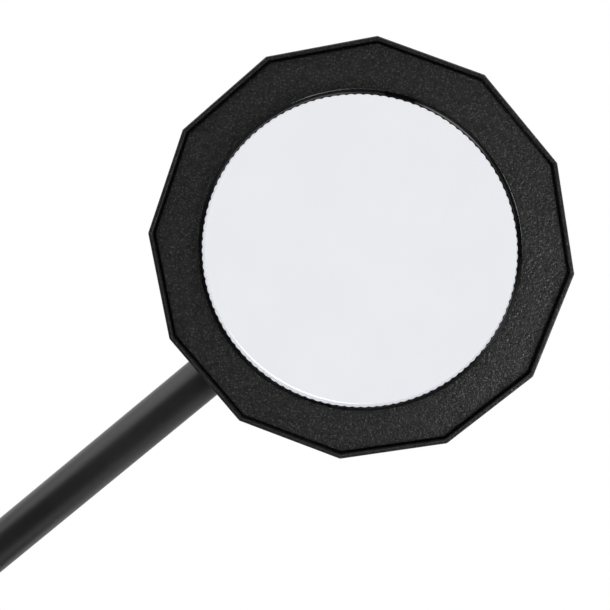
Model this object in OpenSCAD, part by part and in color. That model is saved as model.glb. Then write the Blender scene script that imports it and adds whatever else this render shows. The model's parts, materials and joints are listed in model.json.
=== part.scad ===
// Desk magnifying lamp for model making: a twelve-sided lens head on a two-part friction arm
// with a weighted twelve-sided base. Millimetres, +Z up, the viewer stands on the -Y side.
// The origin is the centre of the base's underside.

/* [Head] */
// Corner radius of the twelve-sided lip
head_r = 60; // [60:0.5:64]
// Depth of the head from lip to light window
head_depth = 22; // [22:0.5:26]
// Width of the raised lip round the face
lip_w = 1.1; // [0.8:0.1:1.3]
// Height of the lip above the face
lip_h = 1.4; // [1:0.1:2]
// How much smaller the back's corner radius is
head_draft = 3; // [2.5:0.5:3]
// Open gap between the face plate and the lip
face_gap = 0.65; // [0.3:0.05:0.8]

/* [Lens] */
// Radius of the glass
lens_r = 44.4; // [44:0.1:44.4]
// Radius of curvature of both lens surfaces, for three dioptres
lens_curve_r = 330; // [200:10:400]
// Thickness of the lens at its rim
lens_edge_t = 3; // [2.5:0.5:3]
// Scallops round the edge of the lens ring
scallops = 120; // [60:12:120]
// Depth of the scallops
scallop_depth = 0.27; // [0.1:0.01:0.3]
// Height of the lens ring above the face
ring_rise = 2; // [1.5:0.1:2.2]

/* [Light] */
// Light emitting diodes round the light window
led_count = 36; // [18:6:36]

/* [Arm] */
// Outer diameter of both arm tubes
tube_d = 13; // [12:0.1:13]
// Wall of both arm tubes
tube_wall = 1; // [0.8:0.1:1.2]
// Slope of the upper arm above the horizontal
arm_slope = 40.4; // [30:0.1:50]
// Lean of the lower arm back from the vertical
lower_lean = 20; // [10:1:25]
// Elbow pivot to lens centre
upper_len = 230; // [200:5:280]
// Shoulder pivot to elbow pivot
lower_len = 190; // [160:5:220]

/* [Base] */
// Corner radius of the twelve-sided base
base_r = 92; // [92:1:110]
// Height of the base
base_h = 26; // [26:1:30]
// Radius of the cast ballast
ballast_r = 75; // [60:1:75]

/* [Hidden] */
$fn = 96;

// Gaps: a running fit, a thrust face, and room between pieces that pass each other
run_gap = 0.05;
thrust_gap = 0.1;
pass_gap = 0.3;
eps = 0.01;
sides = 12;
flat = cos(180 / sides);

// Heights in the head's own frame: z points at the viewer, and the arm's axis is z = 0
lip_z = head_depth / 2;
back_z = -head_depth / 2;
shell_wall = 2;
face_t = 2;
face_z = lip_z - lip_h;
face_back_z = face_z - face_t;
straight_rim_h = 3;
rim_step = 0.4;
cavity_front_r = head_r - 2.8;
cavity_back_r = head_r - head_draft - 2.4;
recess_r = head_r - lip_w / flat;
face_r = recess_r - face_gap / flat;

// Lens stack, from the ring's top down
ring_top_z = face_z + ring_rise;
flange_t = 0.8;
flange_low_z = ring_top_z - flange_t;
lens_top_z = flange_low_z - bulge(lens_r - 0.5) - 0.02;
lens_low_z = lens_top_z - lens_edge_t;
gasket_t = 0.6;
seat_r = lens_r - 0.6;
seat_z = lens_low_z - gasket_t;
ring_outer_r = lens_r + 1.1;
ring_crown_r = lens_r;
ring_bevel_z = ring_top_z - (ring_outer_r - ring_crown_r);
slot_in_r = lens_r + 0.15;
aperture_r = lens_r - 0.2;
skirt_low_z = lens_low_z + 0.2;
face_bore_r = ring_outer_r + 0.25;
collar_wall = 1.8;
collar_h = 3;
slot_angle = 11;
slot_spread = 35;
slot_depth_z = face_z - 0.8;

// How far a lens surface stands out, at a radius, from the plane of the lens's rim
function bulge(r) = sqrt(pow(lens_curve_r, 2) - r * r) - sqrt(pow(lens_curve_r, 2) - lens_r * lens_r);

// Light window and its board
window_r = 51;
channel_in_r = 47.8;
channel_out_r = 51;
board_low_z = back_z + 4.6;
board_t = 1.6;
board_pocket_r = window_r + 1.4;
board_pocket_h = board_t + 3.2;
diffuser_low_z = back_z + 0.8;
diffuser_t = 1.6;
diffuser_waist_r = channel_in_r - 1.4;
led_size = [2.8, 3.5, 1];
led_ring_r = (channel_in_r + channel_out_r) / 2;

// Screws that hold the face plate from behind
face_screw_count = 6;
face_screw_ring_r = window_r + 2.75;
face_screw_r = 1;
face_screw_head_r = 1.8;
face_screw_head_h = 1.6;
face_screw_sink = 0.4;
face_screw_len = face_back_z - back_z - 4.4;
pillar_r = 2.4;
post_r = 2.1;
post_tip_z = 0;

// Swivel between the upper tube and the head, along the head frame's x axis
tube_r = tube_d / 2;
tube_bore_r = tube_r - tube_wall;
socket_x = -54.9;
bush_flange_t = 0.8;
boss_inner_x = -49;
boss_r = 6.2;
bush_r = 4.5;
journal_r = 3;
spigot_tip_x = -47.2;
tube_end_x = socket_x - bush_flange_t - thrust_gap;
clip_x = spigot_tip_x - 0.5;
clip_t = 0.6;
clip_groove_r = 2.4;
clip_r = 4.5;
spigot_plug_len = 24;
lead_r = 1.3;
lead_bore_r = 1.6;

// Friction joints at the elbow and the shoulder: pivot along y, the arm along z
knuckle_r = 11;
tongue_half_t = 4;
washer_t = 0.8;
washer_r = 9.5;
ear_in_y = tongue_half_t + thrust_gap + washer_t;
ear_t = 5;
ear_out_y = ear_in_y + ear_t;
ear_w = 18;
ear_drop = 18;
bridge_t = 5;
neck_w = 13;
socket_start = 15;
socket_floor = 2;
socket_len = 20;
socket_r = tube_r + 2.05;
bolt_r = 3;
bolt_head_r = 5.6;
bolt_head_h = 4;
bolt_tip_y = -20;
plain_washer_t = 1.2;
knob_r = 13.5;
knob_y = -(ear_out_y + plain_washer_t + pass_gap);
knob_t = 13;
insert_r = 5;
insert_len = 10;
lead_exit_r = 2;

// Base, from the pad up
pad_t = 2;
plate_t = 1.5;
cover_wall = 2.5;
cover_inner_r = base_r - cover_wall / flat;
bevel_h = 6;
bevel_in = 7;
plate_top_z = pad_t + plate_t;
cover_top_t = 2.6;
cover_ceiling_z = base_h - cover_top_t;
plate_r = cover_inner_r - 0.6;
pad_r = base_r - 5;
base_screw_count = 6;
base_screw_ring_r = base_r - 11.5;
base_screw_r = 1.5;
base_screw_head_r = 3;
base_screw_head_h = 1.4;
cover_boss_r = 3.6;
ballast_h = 13;
ballast_hole_r = 20;
ballast_screw_ring_r = 48;
ballast_screw_turn = 90;
ballast_screw_r = 2.5;
ballast_screw_head_r = 4.4;
ballast_screw_len = 9;

// Turntable spindle
spindle_r = 8;
spindle_bore_r = 4.2;
spindle_low_z = 11;
cover_hub_r = 13;
cover_hub_low_z = 19.5;
bush_wall = 2;
base_bush_flange_r = 14;
base_bush_flange_t = 0.8;
turntable_r = 24;
turntable_low_z = base_h + base_bush_flange_t + thrust_gap;
spindle_washer_t = 1.1;
spindle_nut_h = 6;
spindle_nut_r = 12;

// Switch and power inlet
button_y = -60;
button_r = 7.7;
button_proud = 2.3;
button_travel = 1;
dish_r = 30;
dish_depth = 0.5;
button_flange_r = 9.2;
button_flange_t = 1.2;
button_low_z = cover_ceiling_z - pass_gap - button_flange_t;
control_board_size = [42, 26, 1.6];
control_board_z = 9;
switch_size = [12, 12, 4.4];
switch_top_z = control_board_z + control_board_size[2] + switch_size[2];
plunger_r = 1.8;
plunger_h = 0.9;
board_boss_x = 18;
board_boss_r = 2.6;
board_screw_r = 1.1;
board_screw_head_r = 2.2;
board_screw_head_h = 1.5;
board_screw_len = 9;
spring_r = 5;
spring_wire_r = 0.35;
spring_turns = 4;
spring_sides = 8;
spring_steps = 16;
inlet_z = 10.3;
inlet_size = [8.94, 7.3, 3.26];
inlet_wall = 0.3;
inlet_board_size = [33, 16, 1.6];
inlet_y = base_r * flat - 0.6;
inlet_board_y = inlet_y - inlet_board_size[1] - 2.8;
inlet_boss_x = 8.5;
socket_w = 4;
inlet_lead_x = 14.5;
lead_socket_y = button_y + 8;
inlet_lead_r = 1.8;
inlet_lead_z = 14.2;

// Pivots in the part's frame
shoulder = [0, 0, turntable_low_z + bridge_t + ear_drop];
elbow = shoulder + lower_len * [-sin(lower_lean), 0, cos(lower_lean)];
head_centre = elbow + upper_len * [cos(arm_slope), 0, sin(arm_slope)];

// ---- frames ----------------------------------------------------------------------------

// The head's frame: z towards the viewer, the arm leaves along -x
module in_head() {
    translate(head_centre) rotate([90, 0, 0]) rotate([0, 0, arm_slope]) children();
}

// The upper arm's frame: the elbow at the origin, the tube along +z
module in_upper_arm() {
    translate(elbow) rotate([0, 90 - arm_slope, 0]) children();
}

// The lower arm's frame: the shoulder at the origin, the tube along +z
module in_lower_arm() {
    translate(shoulder) rotate([0, -lower_lean, 0]) children();
}

// ---- shared shapes ---------------------------------------------------------------------

// Twelve-sided prism whose flats face along x and y
module prism(r, low, high) {
    translate([0, 0, low]) rotate([0, 0, 180 / sides]) cylinder(r = r, h = high - low, $fn = sides);
}

// Twelve-sided frustum between two heights, cut from a slab by one leaning plane per side
module frustum(low_r, high_r, low, high) {
    lean = atan((high_r - low_r) * flat / (high - low));
    reach = 2 * max(low_r, high_r);
    intersection() {
        translate([-reach, -reach, low]) cube([2 * reach, 2 * reach, high - low]);
        intersection_for(i = [0 : sides - 1])
            rotate([0, 0, i * 360 / sides]) translate([low_r * flat, 0, low]) rotate([0, lean, 0])
                translate([-2 * reach, -reach, -reach]) cube(2 * reach);
    }
}

module tube(outer_r, inner_r, low, high) {
    difference() {
        translate([0, 0, low]) cylinder(r = outer_r, h = high - low);
        translate([0, 0, low - 1]) cylinder(r = inner_r, h = high - low + 2);
    }
}

// Round bar along x
module bar_x(r, from, to) {
    translate([from, 0, 0]) rotate([0, 90, 0]) cylinder(r = r, h = to - from);
}

// Round bar along y
module bar_y(r, from, to) {
    translate([0, from, 0]) rotate([-90, 0, 0]) cylinder(r = r, h = to - from);
}

// Copies at equal angles round z, the first on the first corner
module on_corners(count, ring_r) {
    for (i = [0 : count - 1])
        rotate([0, 0, 180 / sides + i * 360 / count]) translate([ring_r, 0, 0]) children();
}

// Pan head below z = 0 with a cross recess, and a shank above it
module screw(head_r, head_h, shank_r, shank_len) {
    difference() {
        union() {
            translate([0, 0, -head_h]) cylinder(r = head_r, h = head_h);
            cylinder(r = shank_r, h = shank_len);
        }
        for (turn = [0, 90])
            rotate([0, 0, turn]) translate([-head_r * 0.6, -head_r * 0.12, -head_h - eps])
                cube([head_r * 1.2, head_r * 0.24, head_h * 0.6]);
    }
}

// ---- head ------------------------------------------------------------------------------

// Lipped housing that everything else in the head sits in
module head_shell() {
    rim_z = lip_z - straight_rim_h;
    color([0.06, 0.06, 0.065]) in_head() difference() {
        union() {
            difference() {
                union() {
                    frustum(head_r - head_draft, head_r - rim_step, back_z, rim_z);
                    prism(head_r, rim_z, lip_z);
                }
                frustum(cavity_back_r, cavity_front_r, back_z + shell_wall, face_back_z);
                prism(recess_r, face_back_z, lip_z + 1);
            }
            intersection() {
                union() {
                    bar_x(boss_r, -head_r + 4, boss_inner_x);
                    on_corners(face_screw_count, face_screw_ring_r)
                        translate([0, 0, back_z]) cylinder(r = pillar_r, h = post_tip_z - back_z);
                }
                frustum(head_r - head_draft - 1, head_r - rim_step - 1, back_z + 1, rim_z);
            }
        }
        translate([0, 0, back_z - 1]) cylinder(r = window_r, h = head_depth);
        translate([0, 0, back_z + shell_wall]) cylinder(r = board_pocket_r, h = board_pocket_h);
        bar_x(bush_r, -head_r, boss_inner_x + 1);
        bar_x(tube_r + 0.4, -head_r - 1, socket_x);
        on_corners(face_screw_count, face_screw_ring_r) translate([0, 0, back_z]) {
            translate([0, 0, -1]) cylinder(r = face_screw_r + 0.2, h = head_depth);
            translate([0, 0, -1])
                cylinder(r = face_screw_head_r + 0.15, h = 1 + face_screw_sink + face_screw_head_h);
        }
    }
}

// Stippled front cover, with the collar that the lens ring turns into and six screw posts
module face_plate() {
    color([0.09, 0.09, 0.09]) in_head() difference() {
        union() {
            prism(face_r, face_back_z, face_z);
            translate([0, 0, face_back_z - collar_h])
                cylinder(r = face_bore_r + collar_wall, h = collar_h + 1);
            on_corners(face_screw_count, face_screw_ring_r)
                translate([0, 0, post_tip_z]) cylinder(r = post_r, h = face_back_z - post_tip_z + 1);
        }
        translate([0, 0, face_back_z - collar_h - 1]) cylinder(r = face_bore_r, h = head_depth);
        on_corners(face_screw_count, face_screw_ring_r)
            translate([0, 0, post_tip_z - 1])
                cylinder(r = face_screw_r + eps, h = face_back_z - post_tip_z);
    }
}

// Radius of the scalloped aperture at an angle: round lobes that meet in sharp cusps
function scallop_r(a) =
    let (across = (a * scallops / 360) % 1 * 2 - 1)
    aperture_r - scallop_depth * across * across;

// Threaded ring that clamps the lens, with a sloping rim, four spanner slots and a scalloped aperture
module lens_ring() {
    steps = scallops * 6;
    color([0.03, 0.03, 0.035]) in_head() difference() {
        rotate_extrude($fn = 180) polygon([
            [lens_r - 4, flange_low_z], [lens_r + 0.1, flange_low_z], [lens_r + 0.1, skirt_low_z],
            [ring_outer_r, skirt_low_z], [ring_outer_r, ring_bevel_z], [ring_crown_r, ring_top_z],
            [lens_r - 4, ring_top_z]
        ]);
        translate([0, 0, flange_low_z - 1]) linear_extrude(height = flange_t + 2)
            polygon([for (i = [0 : steps - 1]) let (a = i * 360 / steps) scallop_r(a) * [cos(a), sin(a)]]);
        for (centre = [-slot_spread, slot_spread, 180 - slot_spread, 180 + slot_spread])
            rotate([0, 0, centre - slot_angle / 2]) rotate_extrude(angle = slot_angle, $fn = 180)
                translate([slot_in_r, slot_depth_z]) square([2, ring_top_z - slot_depth_z + 1]);
    }
}

// Biconvex magnifying lens
module lens() {
    mid_z = lens_low_z + lens_edge_t / 2;
    centre_offset = lens_curve_r - bulge(0) - lens_edge_t / 2;
    color([0.9, 0.93, 0.97, 0.4]) in_head() rotate_extrude($fn = 180) intersection() {
        translate([0, mid_z - centre_offset]) circle(r = lens_curve_r, $fn = 1440);
        translate([0, mid_z + centre_offset]) circle(r = lens_curve_r, $fn = 1440);
        translate([0, mid_z - head_depth]) square([lens_r, 2 * head_depth]);
    }
}

// Soft ring under the lens, with a top that follows the glass
module lens_gasket() {
    color([0.9, 0.9, 0.92]) in_head() rotate_extrude($fn = 180) polygon([
        [seat_r, seat_z], [lens_r, seat_z], [lens_r, lens_low_z - eps],
        [seat_r, lens_low_z - bulge(seat_r) - eps]
    ]);
}

// Opal ring: a flared inner wall under the lens and a channel that covers the diodes
module diffuser_ring() {
    color([0.95, 0.95, 0.96]) in_head() rotate_extrude($fn = 180) polygon([
        [seat_r, seat_z], [face_bore_r - 0.15, seat_z],
        [face_bore_r - 0.15, face_back_z - collar_h - 0.2], [diffuser_waist_r, board_low_z],
        [channel_in_r, board_low_z], [channel_in_r, diffuser_low_z + diffuser_t],
        [channel_out_r, diffuser_low_z + diffuser_t], [channel_out_r, board_low_z],
        [window_r + 1.2, board_low_z], [window_r + 1.2, back_z + shell_wall],
        [window_r - 0.3, back_z + shell_wall], [window_r - 0.3, diffuser_low_z],
        [lens_r + 1.2, diffuser_low_z]
    ]);
}

// Ring-shaped circuit board behind the diodes, with its lead socket
module led_board() {
    color([0.93, 0.94, 0.93]) in_head() {
        tube(window_r + 1, channel_in_r - 0.6, board_low_z, board_low_z + board_t);
        rotate([0, 0, 120]) translate([led_ring_r - 2, -4, board_low_z + board_t]) cube([4, 8, 3.4]);
    }
}

// Diodes that face away from the viewer
module leds() {
    color([0.97, 0.9, 0.5]) in_head()
        for (i = [0 : led_count - 1])
            rotate([0, 0, (i + 0.5) * 360 / led_count])
                translate([led_ring_r - led_size[0] / 2, -led_size[1] / 2, board_low_z - led_size[2]])
                    cube(led_size);
}

// Screws from the back that hold the face plate and shell together
module face_screws() {
    color([0.25, 0.25, 0.26]) in_head() on_corners(face_screw_count, face_screw_ring_r)
        translate([0, 0, back_z + face_screw_sink + face_screw_head_h])
            screw(face_screw_head_r, face_screw_head_h, face_screw_r, face_screw_len);
}

// Flanged bearing in the head's side wall
module swivel_bush() {
    color([0.75, 0.74, 0.7]) in_head() difference() {
        union() {
            bar_x(bush_r, socket_x, boss_inner_x);
            bar_x(boss_r - 0.2, socket_x - bush_flange_t, socket_x);
        }
        bar_x(journal_r + run_gap, socket_x - 2, boss_inner_x + 1);
    }
}

// ---- upper arm -------------------------------------------------------------------------

module upper_tube() {
    color([0.07, 0.07, 0.075]) in_upper_arm()
        tube(tube_r, tube_bore_r, socket_start + socket_floor, upper_len + tube_end_x);
}

// Hollow turned pin pressed into the tube's end, which the head rolls on
module swivel_spigot() {
    color([0.62, 0.62, 0.64]) in_head() difference() {
        union() {
            bar_x(tube_bore_r - eps, tube_end_x - spigot_plug_len, tube_end_x);
            bar_x(journal_r, tube_end_x - 1, spigot_tip_x);
        }
        bar_x(lead_bore_r, tube_end_x - spigot_plug_len - 1, spigot_tip_x + 1);
        difference() {
            bar_x(journal_r + 1, clip_x - clip_t, clip_x);
            bar_x(clip_groove_r, clip_x - clip_t - 1, clip_x + 1);
        }
    }
}

// Spring washer that gives the swivel its friction
module swivel_washer() {
    color([0.7, 0.7, 0.72]) in_head() difference() {
        bar_x(clip_r, boss_inner_x + thrust_gap, clip_x - clip_t);
        bar_x(journal_r + run_gap, -head_r, 0);
    }
}

// Open clip in the spigot's groove
module swivel_clip() {
    color([0.3, 0.3, 0.32]) in_head() difference() {
        bar_x(clip_r, clip_x - clip_t, clip_x);
        bar_x(clip_groove_r + eps, -head_r, 0);
        translate([-head_r, -clip_groove_r * 0.8, 0]) cube([head_r, clip_groove_r * 1.6, clip_r + 1]);
    }
}

// Two-core lead inside the upper tube
module upper_lead() {
    color([0.85, 0.85, 0.85]) in_upper_arm()
        translate([0, 0, socket_start])
            cylinder(r = lead_r, h = upper_len + spigot_tip_x - socket_start - 1);
}

// Lug with a tube socket: pivot along y at the origin, socket along +z
module tongue() {
    difference() {
        union() {
            bar_y(knuckle_r, -tongue_half_t, tongue_half_t);
            translate([-neck_w / 2, -tongue_half_t, 0])
                cube([neck_w, 2 * tongue_half_t, socket_start + 1]);
            translate([0, 0, socket_start]) cylinder(r = socket_r, h = socket_len);
        }
        bar_y(bolt_r + run_gap, -tongue_half_t - 1, tongue_half_t + 1);
        translate([0, 0, socket_start + socket_floor]) cylinder(r = tube_r, h = socket_len);
        translate([0, 0, knuckle_r]) cylinder(r = lead_bore_r, h = socket_len);
        translate([0, 0, knuckle_r]) bar_x(lead_exit_r, 0, neck_w);
    }
}

// Two ears that hold a tongue: pivot along y at the origin, body along -z
module ears() {
    for (side = [-1, 1])
        mirror([0, side < 0 ? 1 : 0, 0]) difference() {
            union() {
                bar_y(knuckle_r, ear_in_y, ear_out_y);
                translate([-ear_w / 2, ear_in_y, -ear_drop]) cube([ear_w, ear_t, ear_drop]);
            }
            bar_y(bolt_r + eps, ear_in_y - 1, ear_out_y + 1);
        }
}

// Hexagon bolt through the ears, with its thread reaching into the knob
module pivot_bolt() {
    color([0.5, 0.5, 0.52]) {
        bar_y(bolt_r, bolt_tip_y, ear_out_y + 1);
        translate([0, ear_out_y, 0]) rotate([-90, 0, 0])
            cylinder(r = bolt_head_r, h = bolt_head_h, $fn = 6);
    }
}

// Two friction discs beside the tongue and a plain washer under the knob
module pivot_washers() {
    color([0.8, 0.78, 0.72]) difference() {
        union() {
            bar_y(washer_r, ear_in_y - washer_t, ear_in_y);
            bar_y(washer_r, -ear_in_y, -ear_in_y + washer_t);
            bar_y(washer_r - 2, -ear_out_y - plain_washer_t, -ear_out_y);
        }
        bar_y(bolt_r + run_gap, -2 * ear_out_y, 2 * ear_out_y);
    }
}

// Twelve-sided tension knob with a round collar
module tension_knob() {
    grip_t = knob_t - 3;
    color([0.06, 0.06, 0.065]) difference() {
        union() {
            translate([0, knob_y, 0]) rotate([90, 0, 0]) cylinder(r = knob_r - 3.5, h = 4);
            translate([0, knob_y - 3, 0]) rotate([90, 0, 0]) rotate([0, 0, 180 / sides])
                cylinder(r = knob_r, h = grip_t, $fn = sides);
        }
        bar_y(insert_r, knob_y - insert_len, knob_y + 1);
        translate([0, knob_y - knob_t - 1, 0]) bar_y(knob_r - 5, 0, 2);
    }
}

// Brass threaded insert in the knob
module knob_insert() {
    color([0.72, 0.6, 0.3]) difference() {
        bar_y(insert_r - eps, knob_y - insert_len, knob_y);
        bar_y(bolt_r + run_gap, knob_y - insert_len - 1, knob_y + 1);
    }
}

module elbow_tongue() {
    color([0.08, 0.08, 0.085]) in_upper_arm() tongue();
}

// ---- lower arm -------------------------------------------------------------------------

module lower_tube() {
    color([0.07, 0.07, 0.075]) in_lower_arm()
        tube(tube_r, tube_bore_r, socket_start + socket_floor,
            lower_len - ear_drop - bridge_t - socket_floor);
}

// Fork on top of the lower tube
module elbow_yoke() {
    socket_low = -ear_drop - bridge_t - socket_len;
    color([0.08, 0.08, 0.085]) in_lower_arm() translate([0, 0, lower_len]) {
        ears();
        difference() {
            union() {
                translate([-ear_w / 2, -ear_out_y, -ear_drop - bridge_t])
                    cube([ear_w, 2 * ear_out_y, bridge_t]);
                translate([0, 0, socket_low]) cylinder(r = socket_r, h = socket_len + 1);
            }
            translate([0, 0, socket_low - socket_floor]) cylinder(r = tube_r, h = socket_len);
            translate([0, 0, socket_low]) cylinder(r = lead_bore_r, h = 2 * socket_len);
        }
    }
}

module elbow_bolt() {
    translate(elbow) pivot_bolt();
}

module elbow_washers() {
    translate(elbow) pivot_washers();
}

// Two-core lead inside the lower tube
module lower_lead() {
    color([0.85, 0.85, 0.85]) in_lower_arm()
        translate([0, 0, socket_start]) cylinder(r = lead_r, h = lower_len - ear_drop - socket_start);
}

module shoulder_tongue() {
    color([0.08, 0.08, 0.085]) in_lower_arm() tongue();
}

module elbow_knob() {
    translate(elbow) tension_knob();
}

module elbow_knob_insert() {
    translate(elbow) knob_insert();
}

module shoulder_knob() {
    translate(shoulder) tension_knob();
}

module shoulder_knob_insert() {
    translate(shoulder) knob_insert();
}

// ---- turntable -------------------------------------------------------------------------

// Round table that carries the shoulder's ears, on a hollow spindle
module turntable() {
    color([0.08, 0.08, 0.085]) {
        translate(shoulder) ears();
        difference() {
            union() {
                translate([0, 0, turntable_low_z]) cylinder(r = turntable_r, h = bridge_t);
                translate([0, 0, spindle_low_z])
                    cylinder(r = spindle_r, h = turntable_low_z - spindle_low_z + 1);
            }
            translate([0, 0, spindle_low_z - 1]) cylinder(r = spindle_bore_r, h = 2 * base_h);
        }
    }
}

module shoulder_bolt() {
    translate(shoulder) pivot_bolt();
}

module shoulder_washers() {
    translate(shoulder) pivot_washers();
}

// Friction washer under the cover's hub
module spindle_washer() {
    high = cover_hub_low_z - thrust_gap;
    color([0.7, 0.7, 0.72]) tube(cover_hub_r, spindle_r + eps, high - spindle_washer_t, high);
}

// Hexagon nut that holds the turntable down
module spindle_nut() {
    high = cover_hub_low_z - thrust_gap - spindle_washer_t;
    color([0.5, 0.5, 0.52]) difference() {
        translate([0, 0, high - spindle_nut_h]) cylinder(r = spindle_nut_r, h = spindle_nut_h, $fn = 6);
        translate([0, 0, spindle_low_z]) cylinder(r = spindle_r + eps, h = base_h);
    }
}

// Two-core lead up through the spindle
module base_lead() {
    color([0.85, 0.85, 0.85]) translate([0, 0, spindle_low_z + 1])
        cylinder(r = lead_r, h = shoulder[2] - knuckle_r - spindle_low_z - 3);
}

// ---- base ------------------------------------------------------------------------------

// Boss from a height up into the cover's top
module rod_up(r, low) {
    translate([0, 0, low]) cylinder(r = r, h = cover_ceiling_z + 1 - low);
}

module at_board_bosses() {
    for (side = [-1, 1]) translate([side * board_boss_x, button_y, 0]) children();
}

// Three places clear of both boards and the lead
module at_ballast_screws() {
    rotate([0, 0, ballast_screw_turn]) on_corners(3, ballast_screw_ring_r) children();
}

module at_inlet_bosses() {
    for (side = [-1, 1]) translate([side * inlet_boss_x, inlet_board_y + 5, 0]) children();
}

// Moulded cover with bosses for its screws, the boards and the turntable
module base_cover() {
    bevel_z = base_h - bevel_h;
    button_at = [0, button_y, 0];
    color([0.07, 0.07, 0.072]) difference() {
        union() {
            difference() {
                union() {
                    prism(base_r, pad_t, bevel_z);
                    frustum(base_r - rim_step, base_r - bevel_in, bevel_z, base_h);
                }
                prism(cover_inner_r, pad_t - 1, bevel_z - 1);
                frustum(cover_inner_r - rim_step, cover_inner_r - bevel_in + 2,
                    bevel_z - 1, cover_ceiling_z);
            }
            on_corners(base_screw_count, base_screw_ring_r)
                rod_up(cover_boss_r, plate_top_z);
            at_board_bosses() rod_up(board_boss_r, control_board_z + control_board_size[2]);
            at_inlet_bosses() rod_up(board_boss_r, inlet_z);
            rod_up(cover_hub_r, cover_hub_low_z);
        }
        translate([0, 0, cover_hub_low_z - 1]) cylinder(r = spindle_r + bush_wall, h = base_h);
        translate(button_at) translate([0, 0, button_low_z]) cylinder(r = button_r + pass_gap, h = base_h);
        on_corners(base_screw_count, base_screw_ring_r)
            translate([0, 0, plate_top_z - 1]) cylinder(r = base_screw_r + eps, h = 13);
        at_board_bosses() translate([0, 0, control_board_z])
            cylinder(r = board_screw_r + eps, h = board_screw_len + 1);
        at_inlet_bosses() translate([0, 0, inlet_z - inlet_board_size[2]])
            cylinder(r = board_screw_r + eps, h = board_screw_len + 1);
        translate([-inlet_size[0] / 2 - 0.4, inlet_y - 8, inlet_z - 0.4])
            cube([inlet_size[0] + 0.8, 20, inlet_size[2] + 0.8]);
    }
}

// Steel bottom plate
module base_plate() {
    color([0.3, 0.3, 0.31]) difference() {
        prism(plate_r, pad_t, plate_top_z);
        on_corners(base_screw_count, base_screw_ring_r) cylinder(r = base_screw_r + 0.2, h = base_h);
        at_ballast_screws() cylinder(r = ballast_screw_r + 0.2, h = base_h);
    }
}

// Non-slip foam pad, with holes over the screw heads
module base_pad() {
    color([0.12, 0.12, 0.12]) difference() {
        prism(pad_r, 0, pad_t);
        on_corners(base_screw_count, base_screw_ring_r)
            translate([0, 0, -1]) cylinder(r = base_screw_head_r + 0.6, h = 2 * pad_t);
        at_ballast_screws()
            translate([0, 0, -1]) cylinder(r = ballast_screw_head_r + 0.6, h = 2 * pad_t);
    }
}

// Cast iron ballast with room for the boards, the spindle and a groove for the lead
module ballast() {
    pocket_w = control_board_size[0] + 4;
    pocket_d = control_board_size[1] + 4;
    color([0.2, 0.2, 0.21]) difference() {
        translate([0, 0, plate_top_z]) cylinder(r = ballast_r, h = ballast_h);
        cylinder(r = ballast_hole_r, h = base_h);
        translate([-pocket_w / 2, button_y - pocket_d / 2 - 20, 0]) cube([pocket_w, pocket_d + 20, base_h]);
        translate([-inlet_board_size[0] / 2 - 2, inlet_board_y - 2, 0])
            cube([inlet_board_size[0] + 4, 20, base_h]);
        translate([inlet_lead_x - 3, -ballast_r, inlet_lead_z - 3]) cube([6, 2 * ballast_r, base_h]);
        at_ballast_screws() cylinder(r = ballast_screw_r + eps, h = plate_top_z + ballast_screw_len);
    }
}

module base_screws() {
    color([0.25, 0.25, 0.26]) on_corners(base_screw_count, base_screw_ring_r)
        translate([0, 0, pad_t]) screw(base_screw_head_r, base_screw_head_h, base_screw_r, 12);
}

module ballast_screws() {
    color([0.25, 0.25, 0.26]) at_ballast_screws()
        translate([0, 0, pad_t]) screw(ballast_screw_head_r, 1.6, ballast_screw_r, ballast_screw_len);
}

// Flanged bearing for the turntable's spindle
module spindle_bush() {
    color([0.75, 0.74, 0.7]) difference() {
        union() {
            translate([0, 0, cover_hub_low_z])
                cylinder(r = spindle_r + bush_wall, h = base_h - cover_hub_low_z);
            translate([0, 0, base_h]) cylinder(r = base_bush_flange_r, h = base_bush_flange_t);
        }
        cylinder(r = spindle_r + run_gap, h = 2 * base_h);
    }
}

// Socket block on a board, which the inlet lead ends in
module lead_socket(y, low) {
    translate([inlet_lead_x - socket_w / 2, y, low])
        cube([socket_w, socket_w, inlet_lead_z + inlet_lead_r + 0.5 - low]);
}

// Board with the light's driver and dimmer
module control_board() {
    size = control_board_size;
    top_z = control_board_z + size[2];
    color([0.1, 0.35, 0.2]) difference() {
        union() {
            translate([-size[0] / 2, button_y - size[1] / 2, control_board_z]) cube(size);
            translate([-14, button_y + 8, top_z]) cube([7, 5, 2.2]);
            translate([-3, button_y + 8, top_z]) cube([4, 4, 1.4]);
            lead_socket(lead_socket_y, top_z);
        }
        at_board_bosses() cylinder(r = board_screw_r + 0.2, h = base_h);
    }
}

module board_screws() {
    color([0.5, 0.5, 0.52]) {
        at_board_bosses() translate([0, 0, control_board_z])
            screw(board_screw_head_r, board_screw_head_h, board_screw_r, board_screw_len);
        at_inlet_bosses() translate([0, 0, inlet_z - inlet_board_size[2]])
            screw(board_screw_head_r, board_screw_head_h, board_screw_r, board_screw_len);
    }
}

// Push switch with its short plunger
module dimmer_switch() {
    color([0.15, 0.15, 0.16]) {
        translate([-switch_size[0] / 2, button_y - switch_size[1] / 2, switch_top_z - switch_size[2]])
            cube(switch_size);
        translate([0, button_y, switch_top_z]) cylinder(r = plunger_r, h = plunger_h);
    }
}

// Points of one round wire section of the spring, at a step along the helix
function spring_ring(step, low, high) =
    let (
        turn = step / spring_steps * 360,
        rise = low + (high - low) * step / (spring_steps * spring_turns)
    )
    [for (i = [0 : spring_sides - 1])
        let (a = i * 360 / spring_sides, r = spring_r + spring_wire_r * cos(a))
        [r * cos(turn), r * sin(turn), rise + spring_wire_r * sin(a)]];

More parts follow.
